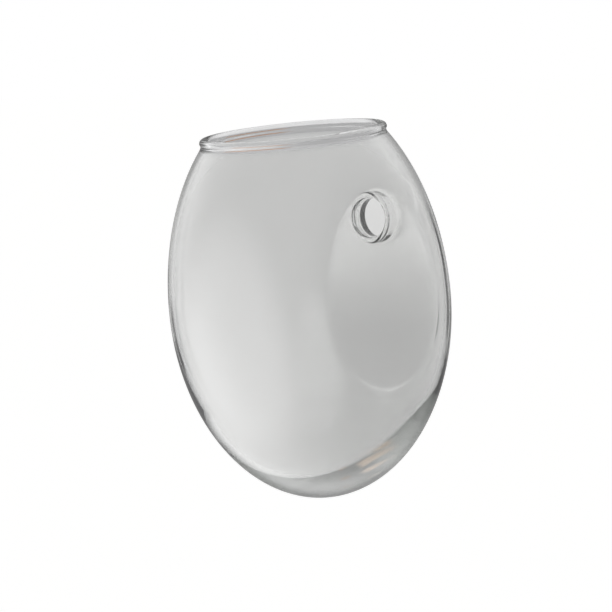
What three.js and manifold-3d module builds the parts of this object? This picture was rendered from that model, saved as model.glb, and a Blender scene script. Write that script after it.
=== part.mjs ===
// Hanging glass wall vase: an egg-shaped bowl of blown clear glass with a flat oval back,
// a hanging hole near the top of that back, a rolled bead round the mouth and a heavy bottom.
// Millimetres, +Z up. The wall is the plane y = 0 and the vase stands out from it towards -Y.
// The origin is the centre of the hanging hole, in the plane of the wall.
import * as THREE from 'three';
import { mergeVertices } from 'three/addons/utils/BufferGeometryUtils.js';
import Module from 'manifold-3d';

// Blown body: two half-ellipses that meet at the widest level
const BODY_RADIUS = 58;
const LOWER_HEIGHT = 81.5; // widest level down to the bottom
const UPPER_CURVE = 90; // height at which the upper half-ellipse would close
const WALL = 2.2;
const MOUTH_RADIUS = 37.6; // outside of the wall where it meets the bead

// Heavy bottom
const BASE_THICKNESS = 7.5; // on the axis
const BASE_HEIGHT = 17.5; // bottom up to the seam with the bowl

// Rolled bead round the mouth
const BEAD_HEIGHT = 3;
const BEAD_OVERHANG = 0.6; // past the wall, inside and outside

// Flat back
const LEAN = THREE.MathUtils.degToRad(5); // the mouth leans this far from the wall
const FLAT_DEPTH = 10.4; // how far the flat is set in from the round of the body
const BACK_THICKNESS = 2.4;
const EDGE_ROUND = 1.6; // reach of the rounded edge, down the side and in on the flat

// Hanging hole: a straight bore, rounded on the wall side, with a lip turned into the vase
const LIP_RADIUS = 9.8; // middle of the rounded lip
const LIP_ROUND = 1.3; // radius of the lip's section
const LIP_REACH = 4.8; // inner face of the back to the middle of the lip
const HOLE_FLARE = 1.6; // rounding of the bore's edge on the wall side
const FOOT_FLARE = 1.2; // rounding between the collar and the back
const FOOT_MARGIN = 1.4; // flat glass left above the collar's foot

const SEAM = 0.3; // hairline between the zones of the leaning body

// Fineness of the round forms
const SIDES = 64;
const HOLE_SIDES = 40;
const WALL_STEPS = 16;
const BASE_STEPS = 6;
const BEAD_STEPS = 10;
const EDGE_STEPS = 3;
const COLLAR_STEPS = 5;
const LIP_STEPS = 8;

// Sizes that follow
const BORE_RADIUS = LIP_RADIUS - LIP_ROUND;
const FLARE_RADIUS = BORE_RADIUS + HOLE_FLARE;
const FOOT_RADIUS = LIP_RADIUS + LIP_ROUND + FOOT_FLARE;
const LIP_DEPTH = BACK_THICKNESS + LIP_REACH;
const BACK_DISTANCE = BODY_RADIUS - FLAT_DEPTH; // body's centre to the wall
const BASE_LEVEL = BASE_HEIGHT - LOWER_HEIGHT;
const NECK_LEVEL = UPPER_CURVE * Math.sqrt(1 - (MOUTH_RADIUS / BODY_RADIUS) ** 2);
const OUTSIDE = { radius: BODY_RADIUS, lower: LOWER_HEIGHT, upper: UPPER_CURVE };
const INSIDE = {
  radius: BODY_RADIUS - WALL,
  lower: LOWER_HEIGHT - BASE_THICKNESS,
  upper: UPPER_CURVE - WALL,
};

const wasm = await Module();
wasm.setup();

// Profile of the egg between two levels, as (radius, height) points
function eggArc(egg, fromLevel, toLevel, steps) {
  const angleAt = (level) => Math.asin(level / (level < 0 ? egg.lower : egg.upper));
  const start = angleAt(fromLevel);
  const sweep = angleAt(toLevel) - start;
  return Array.from({ length: steps + 1 }, (_, i) => {
    const angle = start + (sweep * i) / steps;
    const height = Math.sin(angle) * (angle < 0 ? egg.lower : egg.upper);
    return new THREE.Vector2(egg.radius * Math.cos(angle), height);
  });
}

// Points of an elliptical arc, as (radius, height) points
function arc(x, y, reachX, reachY, fromAngle, toAngle, steps) {
  return Array.from({ length: steps + 1 }, (_, i) => {
    const angle = fromAngle + ((toAngle - fromAngle) * i) / steps;
    return new THREE.Vector2(x + reachX * Math.cos(angle), y + reachY * Math.sin(angle));
  });
}

// Where the leaning egg is cut by a plane beside the wall: distance from the body's centre line
// to the edge of the cut, in a direction that is 0 along X and a quarter turn along Z
function cutRadius(egg, direction, depth) {
  const across = Math.cos(direction);
  const up = Math.sin(direction);
  const out = BACK_DISTANCE - depth;
  const sine = Math.sin(LEAN);
  const cosine = Math.cos(LEAN);
  const solve = (height) => {
    const squash = (egg.radius / height) ** 2;
    const a = across ** 2 + (up * sine) ** 2 + squash * (up * cosine) ** 2;
    const b = out * up * sine * cosine * (1 - squash);
    const c = out ** 2 * (cosine ** 2 + squash * sine ** 2) - egg.radius ** 2;
    return (Math.sqrt(b * b - a * c) - b) / a;
  };
  const radius = solve(egg.upper);
  const level = radius * up * cosine - out * sine;
  return level < 0 ? solve(egg.lower) : radius;
}

// Height of the hole above the body's centre: its collar clears the inside of the bowl
const HOLE_HEIGHT = cutRadius(INSIDE, Math.PI / 2, BACK_THICKNESS) - FOOT_RADIUS - FOOT_MARGIN;

// Closed solid from a geometry
function solid(geometry) {
  const bare = geometry.clone();
  bare.deleteAttribute('normal');
  bare.deleteAttribute('uv');
  const merged = mergeVertices(bare);
  const corners = Array.from(merged.index.array);
  const triangles = [];
  for (let i = 0; i < corners.length; i += 3) {
    const triangle = corners.slice(i, i + 3);
    if (new Set(triangle).size === 3) {
      triangles.push(...triangle);
    }
  }
  const vertProperties = new Float32Array(merged.attributes.position.array);
  const triVerts = new Uint32Array(triangles);
  return new wasm.Manifold(new wasm.Mesh({ numProp: 3, vertProperties, triVerts }));
}

// Geometry from a solid
function surface(body) {
  const mesh = body.getMesh();
  const geometry = new THREE.BufferGeometry();
  geometry.setAttribute('position', new THREE.BufferAttribute(mesh.vertProperties, 3));
  geometry.setIndex(new THREE.BufferAttribute(mesh.triVerts, 1));
  geometry.computeVertexNormals();
  return geometry;
}

// Turned form about the body's axis, along Z
function turned(profile) {
  return new THREE.LatheGeometry(profile, SIDES).rotateX(Math.PI / 2);
}

// Each zone of glass has its own material, so that it can be tinted by itself
function glass(name, geometry, colour) {
  const material = new THREE.MeshStandardMaterial({
    color: colour,
    roughness: 0.04,
    metalness: 0,
    transparent: true,
    opacity: 0.35,
  });
  const mesh = new THREE.Mesh(geometry, material);
  mesh.name = name;
  return mesh;
}

// The body leans from the wall, with its centre below the hole
const leaning = new THREE.Group();
leaning.rotation.x = LEAN;
leaning.position.set(0, -BACK_DISTANCE, -HOLE_HEIGHT);
leaning.updateMatrix();

// Everything on the wall's side of the bowl's cut edge, in the leaning body's frame
function wallSide() {
  const reach = 2 * (BODY_RADIUS + LOWER_HEIGHT + UPPER_CURVE);
  const block = new THREE.BoxGeometry(reach, reach, reach);
  block.translate(0, reach / 2 - BACK_THICKNESS - SEAM, 0);
  return solid(block.applyMatrix4(leaning.matrix.clone().invert()));
}

// Wall of the bowl, open at the mouth, at the heavy bottom and at the flat back
function glassBowl() {
  const profile = [
    ...eggArc(OUTSIDE, BASE_LEVEL, NECK_LEVEL, WALL_STEPS),
    ...eggArc(INSIDE, BASE_LEVEL, NECK_LEVEL, WALL_STEPS).reverse(),
  ];
  profile.push(profile[0].clone());
  return surface(solid(turned(profile)).subtract(wallSide()));
}

// Dish of thick glass that closes the bottom
function thickBase() {
  const top = BASE_LEVEL - SEAM;
  const profile = [
    ...eggArc(OUTSIDE, -OUTSIDE.lower, top, BASE_STEPS),
    ...eggArc(INSIDE, -INSIDE.lower, top, BASE_STEPS).reverse(),
  ];
  return surface(solid(turned(profile)).subtract(wallSide()));
}

// Bead with an elliptical section, flat where it sits on the wall's edge
function rimBead() {
  const inner = eggArc(INSIDE, NECK_LEVEL, NECK_LEVEL, 1)[0].x;
  const seat = (MOUTH_RADIUS - inner) / 2;
  const reach = seat + BEAD_OVERHANG;
  const start = -Math.acos(seat / reach);
  const rise = BEAD_HEIGHT / (1 - Math.sin(start));
  const middle = NECK_LEVEL + SEAM + BEAD_HEIGHT - rise;
  const profile = arc(MOUTH_RADIUS - seat, middle, reach, rise, start, Math.PI - start, BEAD_STEPS);
  profile.push(profile[0].clone());
  return turned(profile);
}

// Oval plate: its side follows the egg and rolls over on to the flat
function backPlate() {
  const rings = [];
  const outline = (place) => Array.from({ length: SIDES }, (_, i) => {
    const direction = (2 * Math.PI * i) / SIDES;
    const foot = new THREE.Vector2(cutRadius(OUTSIDE, direction, BACK_THICKNESS), -BACK_THICKNESS);
    const edge = new THREE.Vector2(cutRadius(OUTSIDE, direction, 0), 0);
    const point = place(foot, edge);
    const z = point.x * Math.sin(direction) - HOLE_HEIGHT;
    return new THREE.Vector3(point.x * Math.cos(direction), point.y, z);
  });
  rings.push(outline((foot) => foot));
  for (let step = 0; step <= EDGE_STEPS; step += 1) {
    rings.push(outline((foot, edge) => {
      const down = foot.clone().sub(edge).setLength(EDGE_ROUND).add(edge);
      const inward = new THREE.Vector2(edge.x - EDGE_ROUND, edge.y);
      return new THREE.QuadraticBezierCurve(down, edge, inward).getPoint(step / EDGE_STEPS);
    }));
  }
  return closedLoft(rings);
}

// Skin over rings of points, closed by a flat face over the first ring and over the last
function closedLoft(rings) {
  const count = rings[0].length;
  const middle = (ring) => ring.reduce((sum, p) => sum.add(p), new THREE.Vector3()).divideScalar(count);
  const points = [...rings.flat(), middle(rings[0]), middle(rings.at(-1))];
  const lastRing = (rings.length - 1) * count;
  const firstCentre = rings.length * count;
  const index = [];
  for (let i = 0; i < count; i += 1) {
    const next = (i + 1) % count;
    for (let base = 0; base < lastRing; base += count) {
      index.push(base + i, base + count + i, base + next);
      index.push(base + next, base + count + i, base + count + next);
    }
    index.push(i, next, firstCentre);
    index.push(lastRing + i, firstCentre + 1, lastRing + next);
  }
  return new THREE.BufferGeometry().setFromPoints(points).setIndex(index);
}

// Quarter round that widens outwards from a radius and rises to a height, as (radius, height) points
function easeOut(radius, height, reach) {
  return arc(radius + reach, height - reach, -reach, reach, 0, Math.PI / 2, COLLAR_STEPS);
}

// Plate with the hole through it, rounded where it meets the wall
function flatBack() {
  const profile = [
    new THREE.Vector2(0, -LIP_DEPTH),
    new THREE.Vector2(BORE_RADIUS, -LIP_DEPTH),
    ...easeOut(BORE_RADIUS, 0, HOLE_FLARE),
    new THREE.Vector2(FLARE_RADIUS, BACK_THICKNESS),
    new THREE.Vector2(0, BACK_THICKNESS),
  ];
  const cutter = new THREE.LatheGeometry(profile, HOLE_SIDES);
  return surface(solid(backPlate()).subtract(solid(cutter)));
}

// Collar on the inner face of the back: a short tube with a rounded lip and a spreading foot
function holeCollar() {
  const profile = [
    new THREE.Vector2(BORE_RADIUS, -BACK_THICKNESS),
    ...arc(LIP_RADIUS, -LIP_DEPTH, LIP_ROUND, LIP_ROUND, -Math.PI, 0, LIP_STEPS),
    ...easeOut(LIP_RADIUS + LIP_ROUND, -BACK_THICKNESS, FOOT_FLARE),
  ];
  profile.push(profile[0].clone());
  return new THREE.LatheGeometry(profile, HOLE_SIDES);
}

leaning.add(
  glass('glass_bowl', glassBowl(), 0xdcdedd),
  glass('thick_base', thickBase(), 0xcfd1d0),
  glass('rim_bead', rimBead(), 0xe4e5e4),
);

const vase = new THREE.Group();
vase.add(
  leaning,
  glass('flat_back', flatBack(), 0xd5d6d6),
  glass('hole_collar', holeCollar(), 0xe4e5e4),
);

export default vase;
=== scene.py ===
import math

import bmesh
import bpy
import numpy as np
from mathutils import Matrix, Vector


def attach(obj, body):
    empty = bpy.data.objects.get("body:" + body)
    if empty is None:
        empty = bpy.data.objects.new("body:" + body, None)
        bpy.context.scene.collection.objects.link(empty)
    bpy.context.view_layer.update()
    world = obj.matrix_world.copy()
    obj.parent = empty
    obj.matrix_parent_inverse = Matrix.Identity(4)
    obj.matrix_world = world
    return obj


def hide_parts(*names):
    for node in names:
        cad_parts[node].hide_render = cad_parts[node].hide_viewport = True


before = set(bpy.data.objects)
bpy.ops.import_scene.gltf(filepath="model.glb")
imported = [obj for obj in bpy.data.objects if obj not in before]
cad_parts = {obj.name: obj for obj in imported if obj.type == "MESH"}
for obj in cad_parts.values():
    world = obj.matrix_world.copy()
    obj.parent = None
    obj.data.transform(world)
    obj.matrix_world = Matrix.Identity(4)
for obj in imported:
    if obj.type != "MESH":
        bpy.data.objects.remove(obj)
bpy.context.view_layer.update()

MM = 0.001

# Body, as in the CAD model, in millimetres and a hair smaller so that it stays in its box
FIT = 0.9982
BODY_RADIUS = 58.0 * FIT
LOWER_HEIGHT = 81.5 * FIT
UPPER_CURVE = 90.0 * FIT
WALL = 2.2
BASE_THICKNESS = 7.5
LEAN = math.radians(5)

# Mouth, with levels above the body's centre, and the groove under its bead
MOUTH_RADIUS = 37.6
MOUTH_LEVEL = 68.5
NECK_LEVEL = 67.2
BEAD_TOP = 71.8
BEAD_REACH = 1.96
BEAD_RISE = 1.745
BEAD_TURN = math.radians(28)
GROOVE_REACH = 0.75

# Flat back: depth below its outer face, and softness of the edge that rolls on to it, for the two skins
BACK_DISTANCE = 47.6
BACK_THICKNESS = 2.4
BACK_DEPTH = (0.0, BACK_THICKNESS)
BACK_SOFTNESS = (0.014, 0.024)

# Hanging hole: a flare outside, a bore, a round lip inside and a flared foot on the inner skin
HOLE_HEIGHT = 32.3
LIP_RADIUS = 9.8
LIP_ROUND = 1.3
LIP_DEPTH = 7.2
HOLE_FLARE = 1.6
FOOT_FLARE = 1.2
BORE_RADIUS = LIP_RADIUS - LIP_ROUND
TUBE_RADIUS = LIP_RADIUS + LIP_ROUND
FLARE_RADIUS = BORE_RADIUS + HOLE_FLARE
FOOT_RADIUS = TUBE_RADIUS + FOOT_FLARE

# Shift of the inside at its bottom, where the pool of glass has run to one side, and the level it starts at
DRIFT = np.array([-1.6, -1.6, -0.3])
DRIFT_START = -35.0

# Mesh: rows of the skins below, beside and above the flat back, and columns beside and away from it
BACK_LEVELS = (-50, 49)
OUTER_SPACING = (1.7, 0.8, 1.3)
INNER_SPACING = (1.9, 1.0, 1.4)
BACK_TURN = math.radians(46)
BACK_COLUMNS = 146
FRONT_COLUMNS = 104
BEAD_ROWS = 27
GROOVE_STEPS = 8
COLLAR_SIDES = 112
FLARE_ROWS = 9
TUBE_ROWS = 6
LIP_ROWS = 21
SKIN_GAP = 0.4
HOLE_ZONE = -9.0

OUTSIDE = (BODY_RADIUS, LOWER_HEIGHT, UPPER_CURVE)
INSIDE = (BODY_RADIUS - WALL, LOWER_HEIGHT - BASE_THICKNESS, UPPER_CURVE - WALL)
CENTRE = np.array([0.0, -BACK_DISTANCE, -HOLE_HEIGHT])
AXIS = np.array([0.0, -math.sin(LEAN), math.cos(LEAN)])
BACKWARD = np.array([0.0, math.cos(LEAN), math.sin(LEAN)])
ACROSS = np.array([1.0, 0.0, 0.0])

# Glass: the wall's slow clouds, the bead, the melted collar, and what the body takes up
TINT_LOW = (0.690, 0.690, 0.687, 1)
TINT_HIGH = (0.710, 0.711, 0.708, 1)
TINT_BEAD = (0.66, 0.66, 0.665, 1)
TINT_COLLAR = (0.93, 0.93, 0.925, 1)
BODY_COLOUR = (0.46, 0.48, 0.46, 1)
BODY_DENSITY = 20
MELT_START = FOOT_RADIUS + 0.4
MELT_FULL = FOOT_RADIUS - 0.8
MELT_ZONE = -12
BEAD_START = 65
BEAD_FULL = 67.5

# Stage, in metres, with strengths where 1 is white
VIEW_AZIMUTH = 43.2
VIEW_ELEVATION = 7.0
WHITE = (1, 1, 1, 1)
FLOOR_LEVEL = -0.42
FLOOR_RADIUS = 200
FLOOR_COLOUR = (0.86, 0.86, 0.855, 1)
FLOOR_GLOW = 0.484
WORLD_SEEN = 1.0
WORLD_FILL = 0.6
TENT_RADIUS = 0.37
TENT_INSIDE = 1.5


def egg_angle(egg, level):
    return math.asin(level / (egg[1] if level < 0 else egg[2]))


def egg_point(egg, angle):
    height = egg[1] if angle < 0 else egg[2]
    return np.array([egg[0] * math.cos(angle), height * math.sin(angle)])


def egg_tangent(egg, angle):
    height = egg[1] if angle < 0 else egg[2]
    t = np.array([-egg[0] * math.sin(angle), height * math.cos(angle)])
    return t / np.linalg.norm(t)


def egg_rows(egg, spacings):
    """Points of the egg's profile from its bottom to the neck."""
    levels = (-egg[1], *BACK_LEVELS, NECK_LEVEL)
    angles = []
    for low, high, spacing in zip(levels, levels[1:], spacings):
        a, b = egg_angle(egg, low), egg_angle(egg, high)
        length = np.linalg.norm(egg_point(egg, b) - egg_point(egg, a))
        count = max(2, round(length / spacing))
        angles += list(np.linspace(a, b, count, endpoint=False))
    angles.append(egg_angle(egg, NECK_LEVEL))
    return [egg_point(egg, a) for a in angles]


def bezier(p0, p1, p2, p3, steps):
    out = []
    for i in range(1, steps):
        t = i / steps
        out.append((1 - t) ** 3 * p0 + 3 * t * (1 - t) ** 2 * p1 + 3 * t * t * (1 - t) * p2 + t ** 3 * p3)
    return out


def bead_point(angle, middle):
    return middle + np.array([BEAD_REACH * math.cos(angle), BEAD_RISE * math.sin(angle)])


def bead_tangent(angle):
    t = np.array([-BEAD_REACH * math.sin(angle), BEAD_RISE * math.cos(angle)])
    return t / np.linalg.norm(t)


def profile():
    """((radius, height), skin) from the outer pole over the bead to the inner pole."""
    outer = egg_rows(OUTSIDE, OUTER_SPACING)
    inner = egg_rows(INSIDE, INNER_SPACING)[::-1]
    inner_mouth = INSIDE[0] * math.sqrt(1 - (MOUTH_LEVEL / INSIDE[2]) ** 2)
    middle = np.array([(MOUTH_RADIUS + inner_mouth) / 2, BEAD_TOP - BEAD_RISE])
    start, end = -BEAD_TURN, math.pi + BEAD_TURN
    bead = [bead_point(a, middle) for a in np.linspace(start, end, BEAD_ROWS)]
    up = egg_tangent(OUTSIDE, egg_angle(OUTSIDE, NECK_LEVEL)) * GROOVE_REACH
    down = -egg_tangent(INSIDE, egg_angle(INSIDE, NECK_LEVEL)) * GROOVE_REACH
    first, last = bead_tangent(start) * GROOVE_REACH, bead_tangent(end) * GROOVE_REACH
    groove = bezier(outer[-1], outer[-1] + up, bead[0] - first, bead[0], GROOVE_STEPS)
    hollow = bezier(bead[-1], bead[-1] + last, inner[0] - down, inner[0], GROOVE_STEPS)
    return [(p, 0) for p in outer + groove + bead] + [(p, 1) for p in hollow + inner]


def smooth_min(a, b, k):
    h = np.maximum(k - np.abs(a - b), 0) / k
    return np.minimum(a, b) - h * h * k / 4


def flatten(d, skin):
    """Draws points of a skin, given from the body's centre, in to the flat of the back."""
    out = d @ np.array([0.0, 1.0, 0.0])
    ratio = np.where(out > 1, (BACK_DISTANCE - BACK_DEPTH[skin]) / np.maximum(out, 1), 9.0)
    return d * smooth_min(np.ones_like(ratio), ratio, BACK_SOFTNESS[skin])[:, None]


def inner_skin_depth(x, z):
    """Y of the inside of the back at a place beside the hole."""
    def gap(y):
        d = np.array([x, y, z]) - CENTRE
        r2 = (d @ ACROSS) ** 2 + (d @ BACKWARD) ** 2
        h = d @ AXIS
        e = math.sqrt(r2 / INSIDE[0] ** 2 + (h / (INSIDE[1] if h < 0 else INSIDE[2])) ** 2)
        q = (BACK_DISTANCE - BACK_THICKNESS) * e / d[1]
        return e - float(smooth_min(np.array(1.0), np.array(q), BACK_SOFTNESS[1]))
    low, high = -12.0, 0.0
    for _ in range(50):
        mid = (low + high) / 2
        if gap(mid) < 0:
            low = mid
        else:
            high = mid
    return (low + high) / 2


def drift(height):
    """Shift of the inside at a height, growing smoothly towards its bottom."""
    share = min(max((DRIFT_START - height) / (DRIFT_START + INSIDE[1]), 0), 1)
    return DRIFT * share * share * (3 - 2 * share)


def turns():
    """Angles about the axis from the back: close together where the flat is."""
    near = np.linspace(-BACK_TURN, BACK_TURN, BACK_COLUMNS, endpoint=False)
    far = np.linspace(BACK_TURN, 2 * math.pi - BACK_TURN, FRONT_COLUMNS, endpoint=False)
    return np.concatenate([near, far])


def vase_mesh():
    """The whole vase, in millimetres, as one closed surface with both skins."""
    angles = turns()
    count = len(angles)
    verts, rings = [], []
    for (radius, height), skin in profile():
        if radius < 1e-6:
            d = (AXIS * height)[None]
        else:
            d = radius * (np.sin(angles)[:, None] * ACROSS + np.cos(angles)[:, None] * BACKWARD)
            d = d + AXIS * height
        if skin == 1:
            d = d + drift(height)
        d = flatten(d, skin)
        rings.append((len(verts), len(d), skin))
        verts.extend(d + CENTRE)
    verts = np.array(verts)

    skin_of = np.concatenate([np.full(n, s) for _, n, s in rings])
    from_hole = np.hypot(verts[:, 0], verts[:, 2])
    opening = np.where(skin_of == 0, FLARE_RADIUS, FOOT_RADIUS) + SKIN_GAP
    cut = (verts[:, 1] > HOLE_ZONE) & (from_hole < opening)

    faces = []
    for (a, na, _), (b, nb, _) in zip(rings, rings[1:]):
        for i in range(count):
            j = (i + 1) % count
            if na == 1:
                face = (a, b + j, b + i)
            elif nb == 1:
                face = (a + i, a + j, b)
            else:
                face = (a + i, a + j, b + j, b + i)
            if not any(cut[v] for v in face):
                faces.append(face)

    bm = bmesh.new()
    made = {}
    for face in faces:
        for v in face:
            if v not in made:
                made[v] = bm.verts.new(verts[v])
    for face in faces:
        bm.faces.new([made[v] for v in face])
    collar(bm)
    bmesh.ops.recalc_face_normals(bm, faces=bm.faces)
    for f in bm.faces:
        f.smooth = True
    return bm


def collar(bm):
    """Bore, lip and foot of the hanging hole, joined to both skins of the back."""
    outer_edge, inner_edge = set(), set()
    for e in bm.edges:
        if e.is_boundary:
            outside = min(v.co.y for v in e.verts) > -BACK_THICKNESS / 2
            (outer_edge if outside else inner_edge).update(e.verts)

    # Section from the wall's side to the inner skin: radius, depth, and share of that skin's own depth
    section = []
    for t in np.linspace(math.pi / 2, 0, FLARE_ROWS):
        radius = FLARE_RADIUS - HOLE_FLARE * math.cos(t)
        section.append((radius, -HOLE_FLARE + HOLE_FLARE * math.sin(t), 0.0))
    for y in np.linspace(-HOLE_FLARE, -LIP_DEPTH, TUBE_ROWS)[1:-1]:
        section.append((BORE_RADIUS, y, 0.0))
    for t in np.linspace(math.pi, 2 * math.pi, LIP_ROWS):
        radius = LIP_RADIUS + LIP_ROUND * math.cos(t)
        section.append((radius, -LIP_DEPTH + LIP_ROUND * math.sin(t), 0.0))
    foot = -BACK_THICKNESS - FOOT_FLARE
    for y in np.linspace(-LIP_DEPTH, foot, TUBE_ROWS)[1:-1]:
        section.append((TUBE_RADIUS, y, 0.0))
    for t in np.linspace(0, math.pi / 2, FLARE_ROWS):
        share = math.sin(t)
        section.append((FOOT_RADIUS - FOOT_FLARE * math.cos(t), foot + FOOT_FLARE * share, share))

    around = [2 * math.pi * i / COLLAR_SIDES for i in range(COLLAR_SIDES)]
    skin = [inner_skin_depth(FOOT_RADIUS * math.cos(a), FOOT_RADIUS * math.sin(a)) for a in around]
    rings = []
    for radius, y, share in section:
        ring = []
        for a, depth in zip(around, skin):
            place = y + share * (depth + BACK_THICKNESS)
            ring.append(bm.verts.new((radius * math.cos(a), place, radius * math.sin(a))))
        rings.append(ring)
    for one, two in zip(rings, rings[1:]):
        for i in range(COLLAR_SIDES):
            j = (i + 1) % COLLAR_SIDES
            bm.faces.new((one[i], one[j], two[j], two[i]))
    zip_rings(bm, rings[0], outer_edge)
    zip_rings(bm, rings[-1], inner_edge)


def zip_rings(bm, ring, loop):
    """Triangles between a round ring and the stepped edge of the skin round it."""
    def angle(v):
        return math.atan2(v.co.z, v.co.x) % (2 * math.pi)
    outer = sorted(loop, key=angle)
    inner = sorted(ring, key=angle)
    n, m = len(outer), len(inner)
    i = j = 0
    while i < n or j < m:
        ao = angle(outer[(i + 1) % n]) + (2 * math.pi if i + 1 >= n else 0)
        ai = angle(inner[(j + 1) % m]) + (2 * math.pi if j + 1 >= m else 0)
        if j >= m or (i < n and ao < ai):
            bm.faces.new((outer[i % n], outer[(i + 1) % n], inner[j % m]))
            i += 1
        else:
            bm.faces.new((outer[i % n], inner[(j + 1) % m], inner[j % m]))
            j += 1


def mesh_object(name, bm, material):
    mesh = bpy.data.meshes.new(name)
    bm.to_mesh(mesh)
    bm.free()
    mesh.materials.append(material)
    obj = bpy.data.objects.new(name, mesh)
    bpy.context.scene.collection.objects.link(obj)
    return obj


def node(tree, kind, inputs=None, **values):
    """New node with its settings, and with its inputs linked or set."""
    n = tree.nodes.new(kind)
    for key, value in values.items():
        setattr(n, key, value)
    for key, value in (inputs or {}).items():
        if isinstance(value, bpy.types.NodeSocket):
            tree.links.new(value, n.inputs[key])
        else:
            n.inputs[key].default_value = value
    return n


def calc(tree, operation, *values):
    """Result of a Math node on sockets and numbers."""
    return node(tree, "ShaderNodeMath", dict(enumerate(values)), operation=operation).outputs[0]


def new_material(name):
    """Material, its tree and the output in it."""
    mat = bpy.data.materials.new(name)
    mat.use_nodes = True
    tree = mat.node_tree
    tree.nodes.clear()
    return mat, tree, node(tree, "ShaderNodeOutputMaterial")


def clear_glass():
    """Smoke-clear blown glass: melted edges clearer, faint waves in the skin, a polish not quite even."""
    mat, tree, out = new_material("clear_glass")
    place = node(tree, "ShaderNodeTexCoord").outputs["Object"]

    def blend(value, start, full):
        ends = {"Value": value, "From Min": start * MM, "From Max": full * MM}
        return node(tree, "ShaderNodeMapRange", ends, interpolation_type="SMOOTHSTEP").outputs[0]

    def mixed(factor, one, two):
        return node(tree, "ShaderNodeMix", {0: factor, 6: one, 7: two}, data_type="RGBA").outputs[2]

    def noise(vector, scale, detail):
        inputs = {"Vector": vector, "Scale": scale, "Detail": detail}
        return node(tree, "ShaderNodeTexNoise", inputs).outputs[0]

    def scaled(factors):
        return node(tree, "ShaderNodeVectorMath", {0: place, 1: factors}, operation="MULTIPLY").outputs[0]

    # Zones: melted clear round the hanging hole, and thick in the bead
    radius = node(tree, "ShaderNodeVectorMath", {0: scaled((1, 0, 1))}, operation="LENGTH")
    near_hole = blend(radius.outputs["Value"], MELT_START, MELT_FULL)
    depth = node(tree, "ShaderNodeSeparateXYZ", {0: place}).outputs["Y"]
    melted = calc(tree, "MULTIPLY", near_hole, calc(tree, "GREATER_THAN", depth, MELT_ZONE * MM))
    rise = node(tree, "ShaderNodeVectorMath", {0: place, 1: tuple(AXIS)}, operation="DOT_PRODUCT")
    middle = float(CENTRE @ AXIS)
    thick = blend(rise.outputs["Value"], middle + BEAD_START, middle + BEAD_FULL)

    # Tint: a little more and less colour in slow clouds
    tint = mixed(noise(place, 22.0, 1.0), TINT_LOW, TINT_HIGH)
    tint = mixed(thick, tint, TINT_BEAD)
    tint = mixed(melted, tint, TINT_COLLAR)

    # Polish: almost perfect, with a trace of haze
    haze = noise(place, 60.0, 2.0)
    ends = {"Value": haze, "From Min": 0.35, "From Max": 0.75, "To Min": 0.0, "To Max": 0.025}
    rough = node(tree, "ShaderNodeMapRange", ends).outputs[0]

    # Waves left by blowing: wider than tall
    waves = noise(scaled((1, 1, 1.7)), 26.0, 0.0)
    bump = node(tree, "ShaderNodeBump", {"Height": waves, "Strength": 1.0, "Distance": 0.12 * MM})

    skin = node(tree, "ShaderNodeBsdfPrincipled", {
        "IOR": 1.5, "Transmission Weight": 1.0,
        "Base Color": tint, "Roughness": rough, "Normal": bump.outputs[0]})
    body = node(tree, "ShaderNodeVolumeAbsorption", {"Color": BODY_COLOUR, "Density": BODY_DENSITY})
    tree.links.new(skin.outputs["BSDF"], out.inputs["Surface"])
    tree.links.new(body.outputs["Volume"], out.inputs["Volume"])
    return mat


def seen_rays(tree):
    """1 for rays that show a background: from the camera, in gloss and through glass."""
    path = node(tree, "ShaderNodeLightPath").outputs
    direct = calc(tree, "MAXIMUM", path["Is Camera Ray"], path["Is Glossy Ray"])
    return calc(tree, "MAXIMUM", direct, path["Is Transmission Ray"])


def studio_world():
    """White all round, brighter where it is seen than where it lights."""
    world = bpy.data.worlds.new("studio")
    bpy.context.scene.world = world
    world.use_nodes = True
    tree = world.node_tree
    tree.nodes.clear()
    fill = node(tree, "ShaderNodeBackground", {"Color": WHITE, "Strength": WORLD_FILL})
    seen = node(tree, "ShaderNodeBackground", {"Color": WHITE, "Strength": WORLD_SEEN})
    mix = node(tree, "ShaderNodeMixShader", {0: seen_rays(tree), 1: fill.outputs[0], 2: seen.outputs[0]})
    node(tree, "ShaderNodeOutputWorld", {"Surface": mix.outputs[0]})


def floor():
    """Pale floor, which glows a little where it is seen."""
    mat, tree, out = new_material("pale_floor")
    matt = node(tree, "ShaderNodeBsdfDiffuse", {"Color": FLOOR_COLOUR})
    level = calc(tree, "MULTIPLY", seen_rays(tree), FLOOR_GLOW)
    glow = node(tree, "ShaderNodeEmission", {"Strength": level})
    both = node(tree, "ShaderNodeAddShader", {0: matt.outputs[0], 1: glow.outputs[0]})
    tree.links.new(both.outputs[0], out.inputs["Surface"])
    bm = bmesh.new()
    bmesh.ops.create_circle(bm, cap_ends=True, segments=96, radius=FLOOR_RADIUS)
    for v in bm.verts:
        v.co.z = FLOOR_LEVEL
    obj = mesh_object("floor", bm, mat)


def toward(azimuth, elevation):
    """Direction from the vase, with azimuth 0 in front of it and 90 on its right."""
    a, e = math.radians(azimuth), math.radians(elevation)
    return Vector((math.sin(a) * math.cos(e), -math.cos(a) * math.cos(e), math.sin(e)))


def view_axes():
    """Right, up and straight away from the viewer in the photograph."""
    away = -toward(VIEW_AZIMUTH, VIEW_ELEVATION)
    right = Vector((math.cos(math.radians(VIEW_AZIMUTH)), math.sin(math.radians(VIEW_AZIMUTH)), 0))
    return right, right.cross(away), away


def aside(angle, turn):
    """Direction at an angle from straight behind the vase in the photograph; turn 0 is right, 90 above."""
    right, up, behind = view_axes()
    a, t = math.radians(angle), math.radians(turn)
    return math.cos(a) * behind + math.sin(a) * (math.cos(t) * right + math.sin(t) * up)


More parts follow.
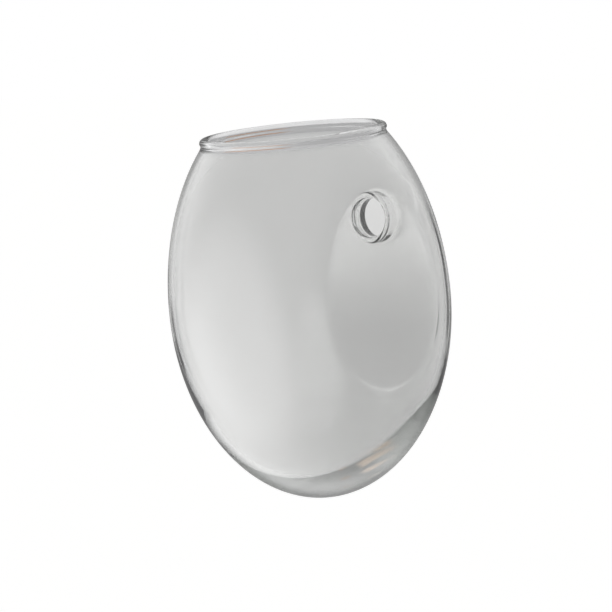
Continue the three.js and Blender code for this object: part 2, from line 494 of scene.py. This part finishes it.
def placed(x, y, z, where):
    """Matrix of an object at a place, with its axes along x, y and z."""
    return Matrix((
        (x.x, y.x, z.x, where.x), (x.y, y.y, z.y, where.y), (x.z, y.z, z.z, where.z), (0, 0, 0, 1)))


def hide_from(obj, *rays):
    for ray in rays:
        setattr(obj, "visible_" + ray, False)


# Where a card shows: as a reflection on the far side of the vase, all through it, only in its solid glass,
# or only as a reflection in that
SHOWN = {
    "far side": [("Glossy Depth", "GREATER_THAN", 0.5), ("Transmission Depth", "GREATER_THAN", 2.5)],
    "all through": [],
    "solid glass": [("Transmission Depth", "LESS_THAN", 2.5)],
    "solid glass mirror": [("Glossy Depth", "GREATER_THAN", 0.5), ("Transmission Depth", "LESS_THAN", 2.5)],
}


def card_material(name, strength, colour, soft, shown):
    """Glowing or dark card, fading out over a share of its half width, in what SHOWN says of its rays."""
    mat, tree, out = new_material(name)
    glow = node(tree, "ShaderNodeEmission", {"Color": (*colour, 1), "Strength": strength})
    clear = node(tree, "ShaderNodeBsdfTransparent")
    place = node(tree, "ShaderNodeTexCoord").outputs["Generated"]
    split = node(tree, "ShaderNodeSeparateXYZ", {0: place})
    factors = []
    for axis, share in zip("XY", soft):
        off = calc(tree, "ABSOLUTE", calc(tree, "SUBTRACT", split.outputs[axis], 0.5))
        ends = {"Value": off, "From Min": 0.5, "From Max": 0.5 - 0.5 * share}
        fade = node(tree, "ShaderNodeMapRange", ends, interpolation_type="SMOOTHERSTEP")
        factors.append(fade.outputs[0])
    path = node(tree, "ShaderNodeLightPath")
    for depth, operation, limit in SHOWN[shown]:
        factors.append(calc(tree, operation, path.outputs[depth], limit))
    cover = factors[0]
    for factor in factors[1:]:
        cover = calc(tree, "MULTIPLY", cover, factor)
    mix = node(tree, "ShaderNodeMixShader", {0: cover, 1: clear.outputs[0], 2: glow.outputs[0]})
    tree.links.new(mix.outputs[0], out.inputs["Surface"])
    return mat


def card(name, direction, wide, tall, strength, colour=(1, 1, 1), soft=(0.5, 0.5), distance=0.9,
         shown="far side", beside=0.0, rise=0.0):
    """Flat card that faces a point beside and above the vase's middle, as the photograph shows it; wide
    and tall are the angles that it fills, in degrees."""
    half_w = distance * math.tan(math.radians(wide / 2))
    half_h = distance * math.tan(math.radians(tall / 2))
    bm = bmesh.new()
    signs = ((-1, -1), (1, -1), (1, 1), (-1, 1))
    bm.faces.new([bm.verts.new((x * half_w, y * half_h, 0)) for x, y in signs])
    obj = mesh_object(name, bm, card_material(name, strength, colour, soft, shown))
    z = direction.normalized()
    x = Vector((0, 0, 1)).cross(z).normalized()
    where = Vector(CENTRE) * MM + beside * aside(90, 0) + rise * aside(90, 90) + z * distance
    obj.matrix_world = placed(x, z.cross(x), z, where)
    hide_from(obj, "camera", "diffuse", "shadow", "volume_scatter")


def tent():
    """Round light tent, seen only in the gloss of the glass: bright low on the left, dark on the right, and
    plain where a ray has been inside the vase."""
    mat, tree, out = new_material("light_tent")
    place = node(tree, "ShaderNodeTexCoord").outputs["Object"]
    way = node(tree, "ShaderNodeVectorMath", {0: place}, operation="NORMALIZE").outputs[0]

    def pool(direction, reach, low, high, full=0):
        """Value that goes from low to high towards a direction, between two angles in degrees."""
        along = node(tree, "ShaderNodeVectorMath", {0: way, 1: direction}, operation="DOT_PRODUCT")
        ends = {"Value": along.outputs["Value"], "To Min": low, "To Max": high,
                "From Min": math.cos(math.radians(reach)), "From Max": math.cos(math.radians(full))}
        return node(tree, "ShaderNodeMapRange", ends, interpolation_type="SMOOTHERSTEP").outputs[0]

    below = pool(aside(80, -111), reach=93, low=2.4, high=3.3)
    left = pool(aside(114, -154), reach=57, low=0, high=2.5)
    right = pool(aside(109, -27), reach=90, low=0, high=-1.9)
    behind = pool(aside(0, 0), reach=74, low=1, high=0.12, full=30)
    level = calc(tree, "ADD", calc(tree, "ADD", below, left), right)
    level = calc(tree, "MULTIPLY", level, behind)
    path = node(tree, "ShaderNodeLightPath")
    inside = calc(tree, "GREATER_THAN", path.outputs["Transmission Depth"], 0.5)
    chosen = node(tree, "ShaderNodeMix", {"Factor": inside, "A": level, "B": TENT_INSIDE})
    glow = node(tree, "ShaderNodeEmission", {"Strength": chosen.outputs["Result"]})
    tree.links.new(glow.outputs[0], out.inputs["Surface"])
    bm = bmesh.new()
    bmesh.ops.create_icosphere(bm, subdivisions=4, radius=TENT_RADIUS)
    obj = mesh_object("light_tent", bm, mat)
    obj.location = Vector(CENTRE) * MM
    hide_from(obj, "camera", "diffuse", "transmission", "shadow", "volume_scatter")


def lights():
    """Soft lamps and dark flags that the glass shows inside it."""
    card("lamp_facet", toward(-43.5, 3.8), wide=22, tall=26, strength=5.5, soft=(0.4, 0.58))
    card("flag_facet", toward(-43.5, -16), wide=22, tall=16, strength=0.0, soft=(0.4, 0.38))
    card("lamp_left", toward(-43.5, 14), wide=70, tall=44, strength=2.0, soft=(0.6, 0.5), distance=1.0)
    card("lamp_front", toward(34, 26), wide=70, tall=88, strength=3.7, soft=(0.9, 0.7))
    card("flag_left", aside(25, 195), wide=11, tall=14, strength=0.0, shown="all through")
    card("flag_right", aside(28, 4), wide=11, tall=26, strength=0.0, soft=(0.5, 0.6), shown="all through")
    card("flag_above", aside(27, 75), wide=84, tall=38, strength=0.62, soft=(0.5, 0.35),
         shown="solid glass")
    card("lamp_behind", aside(58, 168), wide=64, tall=56, strength=1.25, soft=(0.6, 0.6),
         shown="all through", distance=0.95)
    card("warm_above", aside(20, 108), wide=10, tall=7, strength=1.0, colour=(0.62, 0.30, 0.14),
         shown="solid glass", distance=0.45, rise=0.07)
    card("warm_left", aside(35, 149), wide=24, tall=6, strength=1.9, colour=(1.0, 0.80, 0.68),
         shown="solid glass mirror", distance=0.1, beside=0.025, rise=-0.064)


def place_camera():
    """The photograph's view of the vase, with distances in its pixels."""
    pixel = 0.4116 * MM
    frame_pixels = 612
    distance = 1800
    roll = math.radians(2.3)
    shift_right, shift_up = 4.1, -2.2
    right, up, forward = view_axes()
    centre = Vector(CENTRE) * MM
    where = centre + pixel * (-distance * forward - shift_right * right + shift_up * up)
    data = bpy.data.cameras.new("camera")
    data.sensor_width = 36
    data.lens = data.sensor_width * distance / frame_pixels
    data.clip_start = 0.01
    cam = bpy.data.objects.new("camera", data)
    x = math.cos(roll) * right - math.sin(roll) * up
    y = math.sin(roll) * right + math.cos(roll) * up
    cam.matrix_world = placed(x, y, -forward, where)
    bpy.context.scene.collection.objects.link(cam)
    bpy.context.scene.camera = cam


place_camera()
studio_world()
floor()
tent()
lights()

bm = vase_mesh()
bmesh.ops.scale(bm, vec=(MM, MM, MM), verts=bm.verts)
vase = mesh_object("vase_glass", bm, clear_glass())
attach(vase, "root")
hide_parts("glass_bowl", "thick_base", "rim_bead", "flat_back", "hole_collar")

scene = bpy.context.scene
scene.view_settings.view_transform = "Standard"
scene.cycles.max_bounces = 32
scene.cycles.glossy_bounces = 24
scene.cycles.transmission_bounces = 32
